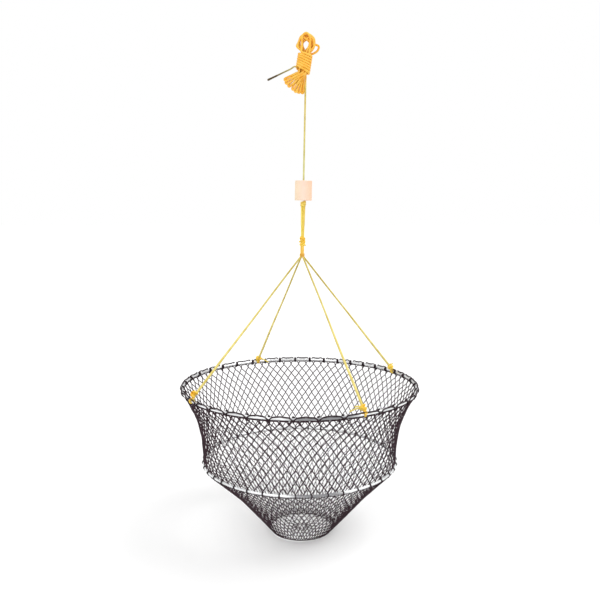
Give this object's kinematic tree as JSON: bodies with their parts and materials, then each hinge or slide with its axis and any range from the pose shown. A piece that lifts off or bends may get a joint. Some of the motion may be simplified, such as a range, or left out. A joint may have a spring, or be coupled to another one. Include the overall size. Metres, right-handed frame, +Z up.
{
  "type": "crab hoop net",
  "caption": "Collapsible crab hoop net: two metal hoops, knotted mesh wall and bag, four-legged rope bridle, small float and haul line laid up in a hank.",
  "frame": {"origin": "in the eye of the hank, where the whole net hangs", "axes": "+Z up, +Y away from the picture's camera, +X to its right; the hoops lie level in XY"},
  "size_m": [0.7779, 0.7789, 1.6048],
  "materials": {
    "galvanised_rod": "dull galvanised, lightly spangled",
    "net_twine": "twisted dark twine, knotted",
    "dark_cord": "thick twisted dark cord",
    "haul_rope": "golden yellow braided rope with a slight sheen",
    "bridle_rope": "yellow braided rope with a slight sheen",
    "sealed_tip": "melted and darkened rope end",
    "float_foam": "pale foam, finely pitted"
  },
  "bodies": {
    "line": {"hank": "haul_rope", "haul_line": "haul_rope", "line_tip": "sealed_tip"},
    "float": {"line_float": "float_foam"},
    "hitch": {"line_hitch": "haul_rope"},
    "bridle": {"pennant_loop_1": "bridle_rope", "pennant_loop_2": "bridle_rope", "gather_knot": "bridle_rope", "leg_seizing": "bridle_rope"},
    "upper_ring": {"upper_hoop": "galvanised_rod", "upper_lacing": "dark_cord", "rim_tie_1": "bridle_rope", "rim_tie_2": "bridle_rope", "rim_tie_3": "bridle_rope", "rim_tie_4": "bridle_rope", "bridle_leg_1": "bridle_rope", "bridle_leg_2": "bridle_rope", "bridle_leg_3": "bridle_rope", "bridle_leg_4": "bridle_rope"},
    "lower_ring": {"lower_hoop": "galvanised_rod", "lower_lacing": "dark_cord", "side_net": "net_twine"},
    "bag_floor": {"floor_net": "net_twine", "floor_cord": "dark_cord", "bag_net": "net_twine"}
  },
  "joints": [
    {"name": "float_slide", "type": "slide", "parent": "line", "child": "float", "axis": [0.0195, 0, 0.9998], "range_m": [0, 0.26]},
    {"name": "net_spin", "type": "hinge", "parent": "line", "child": "hitch", "pos_m": [-0.00975, 0, -0.50011], "axis": [0.0195, 0, 0.9998], "range_deg": [-180, 180]},
    {"name": "net_swing", "type": "hinge", "parent": "hitch", "child": "bridle", "pos_m": [-0.01014, 0, -0.52011], "axis": [0, 1, 0], "range_deg": [-25, 25], "deforming": ["pennant_loop_1", "pennant_loop_2"]},
    {"name": "bridle_slack", "type": "slide", "parent": "bridle", "child": "upper_ring", "axis": [0, 0, 1], "range_m": [0, 0.38], "deforming": ["bridle_leg_1", "bridle_leg_2", "bridle_leg_3", "bridle_leg_4"]},
    {"name": "wall_fold", "type": "slide", "parent": "upper_ring", "child": "lower_ring", "axis": [0, 0, 1], "range_m": [0, 0.235], "deforming": ["side_net"]},
    {"name": "bag_fold", "type": "slide", "parent": "lower_ring", "child": "bag_floor", "axis": [0, 0, 1], "range_m": [0, 0.235], "deforming": ["bag_net"]}
  ]
}
